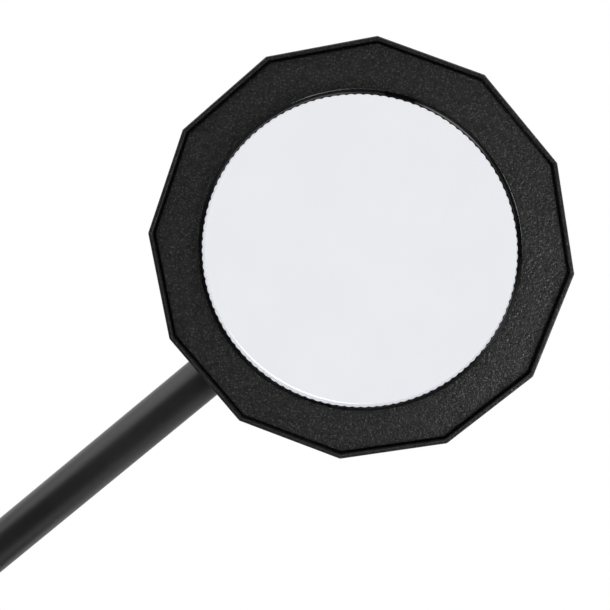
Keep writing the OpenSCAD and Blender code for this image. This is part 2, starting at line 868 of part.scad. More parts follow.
// Return spring between the switch and the button
module button_spring() {
    low = switch_top_z + spring_wire_r;
    high = button_low_z - spring_wire_r;
    last = spring_steps * spring_turns;
    n = spring_sides;
    points = [for (step = [0 : last]) each spring_ring(step, low, high)];
    walls = [for (step = [0 : last - 1], i = [0 : n - 1])
        let (j = (i + 1) % n)
        [step * n + i, (step + 1) * n + i, (step + 1) * n + j, step * n + j]];
    ends = [[for (i = [0 : n - 1]) i], [for (i = [n - 1 : -1 : 0]) last * n + i]];
    color([0.65, 0.65, 0.67]) translate([0, button_y, 0]) polyhedron(points, concat(walls, ends));
}

// Round push button, kept in by its flange
module power_button() {
    color([0.1, 0.1, 0.105]) translate([0, button_y, 0]) difference() {
        union() {
            translate([0, 0, button_low_z]) cylinder(r = button_r, h = base_h + button_proud - button_low_z);
            translate([0, 0, button_low_z]) cylinder(r = button_flange_r, h = button_flange_t);
            translate([0, 0, switch_top_z + plunger_h + button_travel + thrust_gap])
                cylinder(r = plunger_r, h = button_low_z - switch_top_z - plunger_h);
        }
        translate([0, 0, base_h + button_proud + dish_r - dish_depth]) sphere(r = dish_r, $fn = 180);
    }
}

// Small board that carries the inlet
module inlet_board() {
    size = inlet_board_size;
    color([0.1, 0.35, 0.2]) difference() {
        union() {
            translate([-size[0] / 2, inlet_board_y, inlet_z - size[2]]) cube(size);
            lead_socket(inlet_board_y + 2, inlet_z);
        }
        at_inlet_bosses() cylinder(r = board_screw_r + 0.2, h = base_h);
    }
}

// Power socket with its contact tongue
module usb_inlet() {
    corner = inlet_size[2] / 2;
    mouth_w = inlet_size[0] - 2 * inlet_wall;
    tongue = [6.7, 6, 0.7];
    color([0.7, 0.7, 0.72]) translate([0, inlet_y - inlet_size[1], inlet_z + corner]) {
        difference() {
            socket_body(inlet_size[0], corner, inlet_size[1]);
            translate([0, 1, 0]) socket_body(mouth_w, corner - inlet_wall, inlet_size[1]);
        }
        translate([-tongue[0] / 2, 0.5, -tongue[2] / 2]) cube(tongue);
    }
}

// Slot-shaped bar along y
module socket_body(w, r, len) {
    for (side = [-1, 1]) translate([side * (w / 2 - r), 0, 0]) bar_y(r, 0, len);
    translate([-w / 2 + r, 0, -r]) cube([w - 2 * r, len, 2 * r]);
}

// Lead between the two boards, in the ballast's groove
module inlet_lead() {
    color([0.85, 0.85, 0.85]) translate([inlet_lead_x, 0, inlet_lead_z])
        bar_y(inlet_lead_r, lead_socket_y + socket_w, inlet_board_y + 2);
}

head_shell();
face_plate();
lens_ring();
lens();
lens_gasket();
diffuser_ring();
led_board();
leds();
face_screws();
swivel_bush();
upper_tube();
swivel_spigot();
swivel_washer();
swivel_clip();
upper_lead();
elbow_tongue();
lower_tube();
elbow_yoke();
elbow_bolt();
elbow_washers();
lower_lead();
shoulder_tongue();
elbow_knob();
elbow_knob_insert();
shoulder_knob();
shoulder_knob_insert();
turntable();
shoulder_bolt();
shoulder_washers();
spindle_washer();
spindle_nut();
base_lead();
base_cover();
base_plate();
base_pad();
ballast();
base_screws();
ballast_screws();
spindle_bush();
control_board();
board_screws();
dimmer_switch();
button_spring();
power_button();
inlet_board();
usb_inlet();
inlet_lead();
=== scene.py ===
"""Magnifying lamp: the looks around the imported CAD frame, in the CAD's own frame.

Blender works in metres. Lengths written here are millimetres, and MM turns them into metres.
Order: frames, mesh tools, material tools, finishes, head, arms, base, stage, camera.
"""
import json
import math

import bmesh
import bpy
from mathutils import Matrix, Vector


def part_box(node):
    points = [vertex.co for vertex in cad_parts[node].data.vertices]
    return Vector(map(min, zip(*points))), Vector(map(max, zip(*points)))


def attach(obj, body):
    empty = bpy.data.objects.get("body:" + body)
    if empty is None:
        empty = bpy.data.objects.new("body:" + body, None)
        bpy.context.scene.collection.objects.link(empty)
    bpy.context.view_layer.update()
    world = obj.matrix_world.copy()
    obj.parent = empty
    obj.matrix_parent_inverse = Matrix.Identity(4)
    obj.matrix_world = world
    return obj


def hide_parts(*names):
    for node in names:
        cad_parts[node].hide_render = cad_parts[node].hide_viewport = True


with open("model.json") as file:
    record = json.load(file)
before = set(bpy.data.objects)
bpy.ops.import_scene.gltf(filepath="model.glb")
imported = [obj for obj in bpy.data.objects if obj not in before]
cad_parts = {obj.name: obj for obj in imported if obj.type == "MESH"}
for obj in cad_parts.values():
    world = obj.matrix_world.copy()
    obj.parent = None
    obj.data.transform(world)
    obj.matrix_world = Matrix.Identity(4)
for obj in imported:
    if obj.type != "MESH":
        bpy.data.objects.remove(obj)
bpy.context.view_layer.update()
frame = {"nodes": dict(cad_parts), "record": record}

MM = 0.001
SIDES = 12                # flats round the head, the base and the knobs
HALF = math.pi / SIDES    # half the angle that one flat spans
SLOT_OF = {part["node"]: part["material_slot"] for part in frame["record"]["subparts"]}
BODY_OF = {
    node: body for body, nodes in frame["record"]["behaviour"]["bodies"].items() for node in nodes}


def middle(node):
    """Middle of a CAD node's box, in metres."""
    low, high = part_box(node)
    return (low + high) / 2


def size(node):
    """Sides of a CAD node's box, in metres."""
    low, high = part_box(node)
    return high - low


# ---- frames of the head and the arms -----------------------------------------------------

UP, VIEWER = Vector((0, 0, 1)), Vector((0, -1, 0))
head_at = middle("head_shell")
elbow_at = middle("elbow_bolt")
elbow_at.y = 0
shoulder_at = middle("shoulder_bolt")
shoulder_at.y = 0


def frame_at(origin, x_axis, z_axis):
    """Placing matrix with its x and z along the given axes."""
    y_axis = z_axis.cross(x_axis)
    turn = Matrix((x_axis, y_axis, z_axis)).transposed().to_4x4()
    return Matrix.Translation(origin) @ turn


arm_axis = (head_at - elbow_at).normalized()
lower_axis = (elbow_at - shoulder_at).normalized()
IN_HEAD = frame_at(head_at, arm_axis, VIEWER)
IN_UPPER_ARM = frame_at(elbow_at, arm_axis.cross(VIEWER), arm_axis)
IN_LOWER_ARM = frame_at(shoulder_at, lower_axis.cross(VIEWER), lower_axis)


# ---- mesh tools --------------------------------------------------------------------------

HARD_OVER = 32    # degrees between faces, over which an edge is drawn hard


def filleted(points, closed=True, steps=4):
    """Profile of (r, z, fillet, corner) in mm with its corners rounded, as (r, z, corner, wear)."""
    out = []
    count = len(points)
    for i, (r, z, fillet, corner) in enumerate(points):
        here = Vector((r, z))
        inside = closed or 0 < i < count - 1
        if not fillet or not inside:
            out.append((r, z, corner, 0.0))
            continue
        before = (Vector(points[i - 1][:2]) - here).normalized()
        after = (Vector(points[(i + 1) % count][:2]) - here).normalized()
        half = before.angle(after) / 2
        reach = fillet / math.tan(half)
        centre = here + (before + after).normalized() * (fillet / math.sin(half))
        start, end = here + before * reach - centre, here + after * reach - centre
        lead_in, lead_out = here + before * reach * 1.5, here + after * reach * 1.5
        out.append((*lead_in, corner, 0.0))
        for step in range(steps + 1):
            share = step / steps
            spoke = (start * (1 - share) + end * share).normalized() * fillet
            out.append((*(centre + spoke), corner, 1.0))
        out.append((*lead_out, corner, 0.0))
    return out


def ring_points(r, z, corner, around):
    """One ring of a loft: a circle where corner is None, or twelve sides with rounded corners."""
    points = []
    per_corner = around // SIDES
    for side in range(SIDES):
        at = HALF + side * 2 * HALF
        for j in range(per_corner):
            if corner is None:
                angle = at + ((j + 0.5) / per_corner - 0.5) * 2 * HALF
                points.append(Vector((r * math.cos(angle), r * math.sin(angle), z)))
            else:
                angle = at + (j / (per_corner - 1) - 0.5) * 2 * HALF
                out = r - corner / math.cos(HALF)
                points.append(Vector((
                    out * math.cos(at) + corner * math.cos(angle),
                    out * math.sin(at) + corner * math.sin(angle), z)))
    return points


def loft(rings, wear, closed):
    """Closed solid through rings of equal length. An open profile is capped at both ends."""
    bm = bmesh.new()
    layer = bm.verts.layers.float.new("wear")
    grid = []
    for ring, value in zip(rings, wear):
        row = [bm.verts.new(point * MM) for point in ring]
        for vert in row:
            vert[layer] = value
        grid.append(row)
    around = len(grid[0])
    last = len(grid) if closed else len(grid) - 1
    for i in range(last):
        low, high = grid[i], grid[(i + 1) % len(grid)]
        for j in range(around):
            k = (j + 1) % around
            bm.faces.new((low[j], low[k], high[k], high[j]))
    if not closed:
        bm.faces.new(grid[0][::-1])
        bm.faces.new(grid[-1])
    bmesh.ops.recalc_face_normals(bm, faces=bm.faces)
    return bm


def lathe(profile, closed=True, around=144, steps=4):
    """Solid of revolution from a profile of (r, z, fillet, corner) in mm."""
    points = filleted(profile, closed, steps)
    rings = [ring_points(r, z, corner, around) for r, z, corner, _ in points]
    return loft(rings, [wear for *_, wear in points], closed)


def set_hard_edges(bm, limit):
    """Smooth faces, with the edges over an angle in degrees kept hard."""
    for face in bm.faces:
        face.smooth = True
    for edge in bm.edges:
        edge.smooth = len(edge.link_faces) == 2 and edge.calc_face_angle(0) < math.radians(limit)


def into_object(bm, name, place, sharp=HARD_OVER):
    """Object from a bmesh: smooth faces, with edges over the sharp angle kept hard."""
    bm.transform(place)
    bm.normal_update()
    set_hard_edges(bm, sharp)
    mesh = bpy.data.meshes.new(name)
    bm.to_mesh(mesh)
    bm.free()
    made = bpy.data.objects.new(name, mesh)
    bpy.context.scene.collection.objects.link(made)
    return made


def even_normals(made):
    """Flat faces stay flat next to rounded edges."""
    weigh = made.modifiers.new("even_normals", "WEIGHTED_NORMAL")
    weigh.keep_sharp = True
    return made


def finish_piece(made, nodes):
    """Material, body and the CAD nodes that the piece stands for."""
    slot = SLOT_OF[nodes[0]]
    made.data.materials.clear()
    made.data.materials.append(FINISHES[slot])
    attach(made, BODY_OF[nodes[0]])
    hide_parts(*nodes)
    return made


def cylinder_bm(radius, low, high, place, around=64):
    """Closed cylinder along the placing matrix's z, for cutting."""
    bm = bmesh.new()
    rings = [ring_points(radius, z, None, around // SIDES * SIDES) for z in (low, high)]
    rows = [[bm.verts.new(point * MM) for point in ring] for ring in rings]
    count = len(rows[0])
    for j in range(count):
        k = (j + 1) % count
        bm.faces.new((rows[0][j], rows[0][k], rows[1][k], rows[1][j]))
    bm.faces.new(rows[0][::-1])
    bm.faces.new(rows[1])
    bm.transform(place)
    bmesh.ops.recalc_face_normals(bm, faces=bm.faces)
    return bm


def block_bm(low, high):
    """Closed block between two corners in mm, for cutting."""
    bm = bmesh.new()
    bmesh.ops.create_cube(bm, size=1)
    low, high = Vector(low) * MM, Vector(high) * MM
    for vert in bm.verts:
        vert.co = Vector([
            (low[i] + high[i]) / 2 + vert.co[i] * (high[i] - low[i]) for i in range(3)])
    return bm


def cut(made, cutters):
    """Subtracts closed bmeshes from a piece, and leaves plain mesh data."""
    for cutter in cutters:
        tool = into_object(cutter, "cutter", Matrix.Identity(4))
        step = made.modifiers.new("cut", "BOOLEAN")
        step.operation, step.solver, step.object = "DIFFERENCE", "EXACT", tool
        depsgraph = bpy.context.evaluated_depsgraph_get()
        result = bpy.data.meshes.new_from_object(made.evaluated_get(depsgraph))
        made.modifiers.clear()
        made.data = result
        bpy.data.objects.remove(tool)
    bm = bmesh.new()
    bm.from_mesh(made.data)
    bmesh.ops.remove_doubles(bm, verts=bm.verts, dist=1e-6)
    set_hard_edges(bm, HARD_OVER)
    bm.to_mesh(made.data)
    bm.free()
    return made


def softened_copy(node, width, shortest=1.2, steps=2):
    """Copy of a CAD node's mesh with its outer edges rounded, down to the shortest length."""
    bm = bmesh.new()
    bm.from_mesh(frame["nodes"][node].data)
    bmesh.ops.remove_doubles(bm, verts=bm.verts, dist=2e-6)
    bmesh.ops.dissolve_limit(
        bm, angle_limit=math.radians(0.6), use_dissolve_boundaries=False,
        verts=bm.verts, edges=bm.edges)
    layer = bm.verts.layers.float.new("wear")
    bm.normal_update()
    outer = [
        e for e in bm.edges
        if len(e.link_faces) == 2 and e.is_convex and e.calc_length() > shortest * MM
        and e.calc_face_angle(0) > math.radians(28)]
    made = bmesh.ops.bevel(
        bm, geom=outer, offset=width * MM, offset_type="OFFSET", segments=steps, profile=0.5,
        affect="EDGES", clamp_overlap=True)
    for face in made["faces"]:
        for vert in face.verts:
            vert[layer] = 1.0
    return even_normals(into_object(bm, node + "_moulding", Matrix.Identity(4), sharp=40))


# ---- material tools ----------------------------------------------------------------------

class Recipe:
    """One procedural material: a Principled shader with grain, mottling and wear."""

    def __init__(self, name, **sockets):
        self.material = bpy.data.materials.new(name)
        self.material.use_nodes = True
        self.tree = self.material.node_tree
        self.shader = self.tree.nodes["Principled BSDF"]
        for socket, value in sockets.items():
            self.shader.inputs[socket.replace("_", " ")].default_value = value
        self.where = self.add("ShaderNodeTexCoord").outputs["Object"]

    def add(self, kind, links=None, **values):
        """Node with its settings and sockets given by name, and links by socket name."""
        made = self.tree.nodes.new(kind)
        for key, value in values.items():
            if hasattr(made, key):
                setattr(made, key, value)
            else:
                made.inputs[key.replace("_", " ")].default_value = value
        for key, source in (links or {}).items():
            self.tree.links.new(source, made.inputs[key])
        return made

    def noise(self, per_mm, detail=2.0, roughness=0.5):
        """Noise with the given number of features per millimetre."""
        return self.add(
            "ShaderNodeTexNoise", {"Vector": self.where},
            Scale=per_mm / MM, Detail=detail, Roughness=roughness).outputs["Fac"]

    def cells(self, per_mm, feature="SMOOTH_F1"):
        """Distance to the nearest of scattered points."""
        return self.add(
            "ShaderNodeTexVoronoi", {"Vector": self.where},
            feature=feature, Scale=per_mm / MM).outputs["Distance"]

    def between(self, value, from_low, from_high, to_low, to_high):
        """Value mapped from one range to another, and held at the ends."""
        return self.add(
            "ShaderNodeMapRange", {"Value": value}, From_Min=from_low, From_Max=from_high,
            To_Min=to_low, To_Max=to_high).outputs["Result"]

    def maths(self, operation, a, b):
        made = self.add("ShaderNodeMath", operation=operation)
        for socket, value in zip(made.inputs, (a, b)):
            if isinstance(value, (int, float)):
                socket.default_value = value
            else:
                self.tree.links.new(value, socket)
        return made.outputs["Value"]

    def mix(self, share, a, b):
        made = self.add("ShaderNodeMix", data_type="RGBA")
        for socket, value in ((made.inputs[0], share), (made.inputs[6], a), (made.inputs[7], b)):
            if isinstance(value, (int, float, tuple)):
                socket.default_value = value
            else:
                self.tree.links.new(value, socket)
        return made.outputs[2]

    def wear(self):
        """1 on edges that a mesh tool has rounded, 0 elsewhere."""
        return self.add("ShaderNodeAttribute", attribute_name="wear").outputs["Fac"]

    def bump(self, *layers):
        """Stacks (height, depth in mm) layers of bump."""
        normal = None
        for height, depth in layers:
            links = {"Height": height}
            if normal:
                links["Normal"] = normal
            normal = self.add(
                "ShaderNodeBump", links, Distance=depth * MM, Strength=1.0).outputs["Normal"]
        self.tree.links.new(normal, self.shader.inputs["Normal"])

    def set(self, socket, value):
        self.tree.links.new(value, self.shader.inputs[socket])


def shade(colour, factor):
    """Colour made lighter or darker, with an alpha of 1."""
    return tuple(c * factor for c in colour[:3]) + (1.0,)


def mottled(name, colour, rough, spread=0.18, rough_spread=0.06, grain=(1.2, 0.01), worn=None,
            fine=None, **sockets):
    """Solid material: tone and gloss that vary softly, a fine grain, and lighter worn edges.

    grain and fine are (features per mm, depth in mm).
    """
    r = Recipe(name, **sockets)
    broad = r.noise(0.045, 3, 0.55)
    close = r.noise(grain[0], 3, 0.6)
    tone = r.mix(r.between(broad, 0.3, 0.7, 0, 1), shade(colour, 1 - spread), shade(colour, 1 + spread))
    gloss = r.maths("ADD", r.between(broad, 0.3, 0.7, rough - rough_spread, rough + rough_spread),
                    r.between(close, 0.3, 0.7, -0.03, 0.03))
    if worn:
        patches = r.between(r.noise(0.35, 3), 0.35, 0.65, 0.15, 1)
        rubbed = r.maths("MULTIPLY", r.wear(), patches)
        tone = r.mix(rubbed, tone, shade(worn, 1))
        gloss = r.maths("SUBTRACT", gloss, r.maths("MULTIPLY", rubbed, 0.06))
    r.set("Base Color", tone)
    r.set("Roughness", gloss)
    layers = [(close, grain[1])]
    if fine:
        layers.append((r.cells(fine[0]), fine[1]))
    r.bump(*layers)
    return r.material


def stippled_black(name, dark, light, rough, depth):
    """Spark-eroded black moulding: pits, crumbs and specks in the bump and gloss, and painted sparkles that
    colour the specks far lighter, standing in for light on them.
    """
    r = Recipe(name, Specular_IOR_Level=0.45)
    broad = r.noise(0.03, 3, 0.55)
    pits = r.cells(1.2)
    specks = r.noise(2.0, 1, 0.5)
    crumbs = r.noise(1.1, 3, 0.6)
    # painted highlight: the brightest specks get a colour far lighter than the plastic, as sparkles of light
    painted_glint = r.between(specks, 0.57, 0.68, 0, 1)
    tone = r.mix(r.between(crumbs, 0.3, 0.7, 0, 1), shade(dark, 1), shade(light, 1))
    painted_glint_share = r.maths("MULTIPLY", r.between(broad, 0.35, 0.65, 0.65, 0.9), painted_glint)
    tone = r.mix(painted_glint_share, tone, shade(light, 3.5))
    r.set("Base Color", tone)
    r.set("Roughness", r.maths("SUBTRACT", r.between(broad, 0.3, 0.7, rough - 0.03, rough + 0.03),
                               r.between(specks, 0.45, 0.7, -0.04, 0.14)))
    r.bump((crumbs, depth), (pits, depth * 0.4), (specks, depth * 0.6))
    return r.material


def clear_glass():
    """Polished lens glass with the faintest waviness and cleaning haze."""
    r = Recipe("Lens glass", Transmission_Weight=1.0, IOR=1.52, Specular_IOR_Level=0.5)
    haze = r.noise(0.05, 4, 0.6)
    r.set("Base Color", r.mix(
        r.between(haze, 0.3, 0.7, 0, 1), (0.843, 0.85, 0.887, 1), (0.863, 0.87, 0.901, 1)))
    r.set("Roughness", r.between(haze, 0.35, 0.75, 0.0, 0.015))
    r.bump((haze, 0.002))
    return r.material


def opal_plastic():
    """White diffuser plastic with a painted glow: its emission keeps it pale, with no light lit inside the head.
    """
    # painted glow: the emission stands in for light; it is no lamp
    r = Recipe("Opal diffuser with painted glow", Specular_IOR_Level=0.4,
               Emission_Color=(1, 1, 1, 1), Emission_Strength=0.5)
    broad = r.noise(0.08, 3)
    close = r.noise(2.5, 2)
    r.set("Base Color", r.mix(
        r.between(broad, 0.3, 0.7, 0, 1), (0.86, 0.87, 0.9, 1), (0.92, 0.93, 0.95, 1)))
    r.set("Roughness", r.between(close, 0.3, 0.7, 0.42, 0.52))
    r.bump((close, 0.008))
    return r.material


def turned_metal(name, colour, rough):
    """Plated or turned metal: fine tool marks and patches of tarnish."""
    r = Recipe(name, Metallic=1.0)
    marks = r.noise(3.0, 3, 0.6)
    tarnish = r.noise(0.25, 4, 0.6)
    r.set("Base Color", r.mix(
        r.between(tarnish, 0.35, 0.7, 0, 1), shade(colour, 1.05), shade(colour, 0.72)))
    r.set("Roughness", r.maths("ADD", r.between(tarnish, 0.3, 0.7, rough - 0.05, rough + 0.1),
                               r.between(marks, 0.3, 0.7, -0.04, 0.04)))
    r.bump((marks, 0.006))
    return r.material


def rough_cast(name, colour):
    """Sand casting under a coat of paint."""
    r = Recipe(name, Metallic=0.35)
    sand = r.noise(1.1, 4, 0.7)
    broad = r.noise(0.06, 3)
    r.set("Base Color", r.mix(
        r.between(broad, 0.3, 0.7, 0, 1), shade(colour, 0.8), shade(colour, 1.25)))
    r.set("Roughness", r.between(sand, 0.3, 0.7, 0.55, 0.75))
    r.bump((sand, 0.12))
    return r.material


def foam():
    """Closed-cell foam: open pores cut through on the skin."""
    r = Recipe("Foam pad", Specular_IOR_Level=0.25)
    pores = r.cells(2.2, "F1")
    broad = r.noise(0.1, 3)
    # painted shade: the colour darkens towards the middle of each pore, where the bump dips
    r.set("Base Color", r.mix(
        r.between(pores, 0.1, 0.5, 0, 1), (0.012, 0.012, 0.012, 1), (0.03, 0.03, 0.031, 1)))
    r.set("Roughness", r.between(broad, 0.3, 0.7, 0.8, 0.92))
    r.bump((pores, 0.15))
    return r.material


FINISHES = {
    "stippled_black": stippled_black(
        "Stippled black plastic", (0.005, 0.005, 0.0051), (0.026, 0.026, 0.026), 0.44, 0.3),
    "moulded_black": stippled_black(
        "Moulded black plastic", (0.005, 0.005, 0.0051), (0.02, 0.02, 0.0199), 0.42, 0.2),
    "gloss_black": mottled(
        "Semi-gloss black plastic", (0.003, 0.003, 0.0031), 0.16, rough_spread=0.03, grain=(0.8, 0.003),
        worn=(0.008, 0.008, 0.0085), Specular_IOR_Level=0.5),
    "glass": clear_glass(),
    # painted glow: the emission keeps the milky silicone pale; it is no lamp
    "silicone": mottled(
        "Milky silicone with painted glow", (0.82, 0.83, 0.86), 0.45, spread=0.04, grain=(1.5, 0.006),
        Emission_Color=(1, 1, 1, 1), Emission_Strength=0.5),
    "opal": opal_plastic(),
    "white_board": mottled(
        "White circuit board", (0.8, 0.81, 0.8), 0.35, spread=0.04, grain=(2.0, 0.01)),
    "diode": mottled("Diode resin", (0.9, 0.72, 0.2), 0.18, spread=0.06, grain=(1.5, 0.01)),
    "dark_screw": turned_metal("Black oxide steel", (0.05, 0.05, 0.052), 0.38),
    "bearing_polymer": mottled(
        "Bearing polymer", (0.55, 0.53, 0.47), 0.4, spread=0.08, grain=(2.0, 0.008)),
    "powder_coat": mottled(
        "Satin black powder coat", (0.018, 0.018, 0.0183), 0.36, rough_spread=0.03, grain=(0.9, 0.016),
        fine=(2.0, 0.006), worn=(0.03, 0.03, 0.031), Specular_IOR_Level=0.5),
    "bright_steel": turned_metal("Zinc plated steel", (0.62, 0.62, 0.64), 0.28),
    "spring_steel": turned_metal("Spring steel", (0.4, 0.4, 0.42), 0.3),
    "knob_black": mottled(
        "Knob plastic", (0.014, 0.014, 0.0145), 0.44, grain=(1.4, 0.02), fine=(2.2, 0.015),
        worn=(0.035, 0.035, 0.036), Specular_IOR_Level=0.42),
    "brass": turned_metal("Turned brass", (0.75, 0.55, 0.24), 0.25),
    "lead_white": mottled("White lead sheath", (0.72, 0.72, 0.71), 0.5, spread=0.05, grain=(1.5, 0.01)),
    "steel_plate": mottled(
        "Coated steel plate", (0.03, 0.03, 0.031), 0.5, grain=(1.1, 0.03), worn=(0.1, 0.1, 0.1)),
    "foam": foam(),
    "iron": rough_cast("Painted cast iron", (0.05, 0.05, 0.053)),
    "green_board": mottled(
        "Green circuit board", (0.01, 0.12, 0.05), 0.32, spread=0.1, grain=(1.6, 0.02)),
    "switch_black": mottled(
        "Button plastic", (0.018, 0.018, 0.019), 0.38, grain=(1.8, 0.015), worn=(0.04, 0.04, 0.041)),
    "socket_metal": turned_metal("Nickel plated steel", (0.66, 0.65, 0.62), 0.22),
}

# CAD nodes that stay in view, or are seen only when the lamp is taken apart, take the same finishes
for node, made in frame["nodes"].items():
    for place in range(max(1, len(made.material_slots))):
        if len(made.material_slots) <= place:
            made.data.materials.append(FINISHES[SLOT_OF[node]])
        else:
            made.material_slots[place].material = FINISHES[SLOT_OF[node]]


# ---- head --------------------------------------------------------------------------------

# Heights over the head's middle, towards the viewer
LIP = -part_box("head_shell")[0].y / MM
BACK = -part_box("head_shell")[1].y / MM
LIP_OVER_FACE = 1.4
COVER_T = 2
RIM_H = 3
BACK_T = 2
FACE = LIP - LIP_OVER_FACE
FACE_BACK = FACE - COVER_T
RIM_LOW = LIP - RIM_H

# Distances from the head's middle, to the corners for the twelve-sided outlines
HEAD_R = 60.0
HEAD_DRAFT = 3
RIM_STEP = 0.4
LIP_W = 1.1
GROOVE_W = 0.65
RECESS_R = HEAD_R - LIP_W / math.cos(HALF)
FACE_R = RECESS_R - GROOVE_W / math.cos(HALF)
WALL_FRONT, WALL_BACK = 2.8, 5.4
BORE_R = 45.56
COLLAR_W, COLLAR_H = 1.8, 3
WINDOW_R = 51.0
SCREW_AT, SCREW_HEAD_R = 53.75, 1.95
TUBE_R = size("upper_tube").y / 2 / MM
SOCKET_GAP, SOCKET_END, PAST_WALL = 0.4, 54.9, 70

shell = into_object(lathe([
    (HEAD_R - HEAD_DRAFT, BACK, 0.8, 1.4),
    (HEAD_R - RIM_STEP, RIM_LOW, 0.1, 1.0),
    (HEAD_R, RIM_LOW + 0.1, 0.1, 0.8),
    (HEAD_R, LIP, 0.4, 0.8),
    (RECESS_R, LIP, 0.25, 0.5),
    (RECESS_R, FACE_BACK, 0, 0.5),
    (HEAD_R - WALL_FRONT, FACE_BACK, 0, 0.6),
    (HEAD_R - WALL_BACK, BACK + BACK_T, 0, 0.6),
    (WINDOW_R, BACK + BACK_T, 0, None),
    (WINDOW_R, BACK, 0.4, None),
]), "head_housing", IN_HEAD)
arm_in = Matrix.Rotation(-math.pi / 2, 4, "Y")
screw_out = Matrix.Translation((SCREW_AT * MM, 0, 0))
screw_turns = [Matrix.Rotation(HALF + k * math.pi / 3, 4, "Z") for k in range(6)]
cut(shell, [
    cylinder_bm(TUBE_R + SOCKET_GAP, SOCKET_END, PAST_WALL, IN_HEAD @ arm_in),
    *[cylinder_bm(SCREW_HEAD_R, BACK - 1, BACK + BACK_T - 0.05, IN_HEAD @ turn @ screw_out, 48)
      for turn in screw_turns],
])
finish_piece(even_normals(shell), ["head_shell"])

face = into_object(lathe([
    (FACE_R, FACE_BACK + 0.01, 0, 0.4),
    (FACE_R, FACE, 0.35, 0.4),
    (BORE_R, FACE, 0.06, None),
    (BORE_R, FACE_BACK - COLLAR_H, 0, None),
    (BORE_R + COLLAR_W, FACE_BACK - COLLAR_H, 0, None),
    (BORE_R + COLLAR_W, FACE_BACK + 0.01, 0, None),
]), "face_cover", IN_HEAD)
finish_piece(even_normals(face), ["face_plate"])

# Lens ring: a scalloped aperture, a sloping rim and four spanner slots
LENS_R = 44.4
RING_R = LENS_R + 1.1
RING_TOP = FACE + 2
RING_BEVEL = math.radians(45)
FLANGE_LOW = RING_TOP - 0.8
SKIRT_LOW = -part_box("lens_ring")[1].y / MM
SCALLOPS = 120
SCALLOP_DEPTH = 0.27
STEPS_PER_SCALLOP = 10
SLOT_CENTRES = [35, -35, 145, 215]
SLOT_HALF = 5.5
SLOT_FLOOR = FACE - 0.8


def ring_angles():
    """Angles round the ring in degrees, with a close pair of angles at each end of each slot."""
    count = SCALLOPS * STEPS_PER_SCALLOP
    angles = {i / STEPS_PER_SCALLOP * 360 / SCALLOPS for i in range(count)}
    for centre in SLOT_CENTRES:
        for end in (centre - SLOT_HALF, centre + SLOT_HALF):
            angles |= {(end - 0.03) % 360, (end + 0.03) % 360}
    return sorted(angles)


def in_slot(angle):
    return any(abs((angle - centre + 180) % 360 - 180) < SLOT_HALF for centre in SLOT_CENTRES)


def ring_profile(angle):
    """(r, z) round the ring's section: the aperture, the bevel or a slot, and the skirt."""
    across = (angle * SCALLOPS / 360) % 1 * 2 - 1
    inner = LENS_R - 0.2 - SCALLOP_DEPTH * across * across
    bevel_z = RING_TOP - (RING_R - LENS_R) * math.tan(RING_BEVEL)
    if in_slot(angle):
        wall = LENS_R + 0.15
        rim = [
            (LENS_R, RING_TOP), (wall - 0.05, RING_TOP - 0.08), (wall, RING_TOP - 0.18),
            (wall, SLOT_FLOOR), (RING_R, SLOT_FLOOR), (RING_R, SLOT_FLOOR - 0.05)]
    else:
        rim = [
            (LENS_R - 0.02, RING_TOP), (LENS_R + 0.05, RING_TOP - 0.04),
            (LENS_R + 0.18, RING_TOP - 0.17), (RING_R - 0.07, bevel_z + 0.08),
            (RING_R, bevel_z - 0.06), (RING_R, FACE - 0.2)]
    return [
        (inner + 0.12, FLANGE_LOW), (inner, RING_TOP - 0.12), (inner + 0.02, RING_TOP - 0.03),
        (inner + 0.08, RING_TOP), *rim,
        (RING_R, SKIRT_LOW), (LENS_R + 0.1, SKIRT_LOW), (LENS_R + 0.1, FLANGE_LOW)]


RING_WEAR = [0, 0.6, 1, 0, 0, 0.6, 0, 0, 0.5, 0, 0, 0, 0]    # one for each point of ring_profile
columns = []
for angle in ring_angles():
    outward = Vector((math.cos(math.radians(angle)), math.sin(math.radians(angle)), 0))
    columns.append([outward * r + UP * z for r, z in ring_profile(angle)])
lens_ring = into_object(
    loft(list(zip(*columns)), RING_WEAR, True), "lens_clamp_ring", IN_HEAD, sharp=38)
finish_piece(even_normals(lens_ring), ["lens_ring"])

# Lens: two spherical faces and a ground rim
CURVE_R = 330.0
LENS_RINGS = 24
lens_low, lens_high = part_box("lens")
lens_mid = -(lens_low.y + lens_high.y) / 2 / MM
lens_half = (lens_high.y - lens_low.y) / 2 / MM


def lens_face(side):
    """Profile of one face from its middle to its rim; side is 1 for the front and -1 for the back."""
    radii = [LENS_R * (i + 0.02) / (LENS_RINGS + 0.02) for i in range(LENS_RINGS + 1)]
    rise = [lens_half - (CURVE_R - math.sqrt(CURVE_R * CURVE_R - r * r)) for r in radii]
    return [(r, lens_mid + side * z, 0, None) for r, z in zip(radii, rise)]


glass = into_object(
    lathe(lens_face(1) + lens_face(-1)[::-1], closed=False, around=192), "lens_glass", IN_HEAD,
    sharp=20)
finish_piece(glass, ["lens"])


# ---- arms --------------------------------------------------------------------------------

TUBE_WALL = 1
SOCKET_DEPTH = 17     # from a hinge's pivot to the tube's end
HEAD_END = 55.8       # from the head's middle to the upper tube's end
YOKE_END = 25         # from the elbow's pivot to the lower tube's end


def tube_piece(name, node, place, low, high):
    """Round tube with softened ends."""
    r = size(node).y / 2 / MM
    inner = r - TUBE_WALL
    made = into_object(lathe([
        (r, low, 0.25, None), (r, high, 0.25, None), (inner, high, 0.2, None), (inner, low, 0.2, None),
    ], around=192), name, place)
    return finish_piece(even_normals(made), [node])


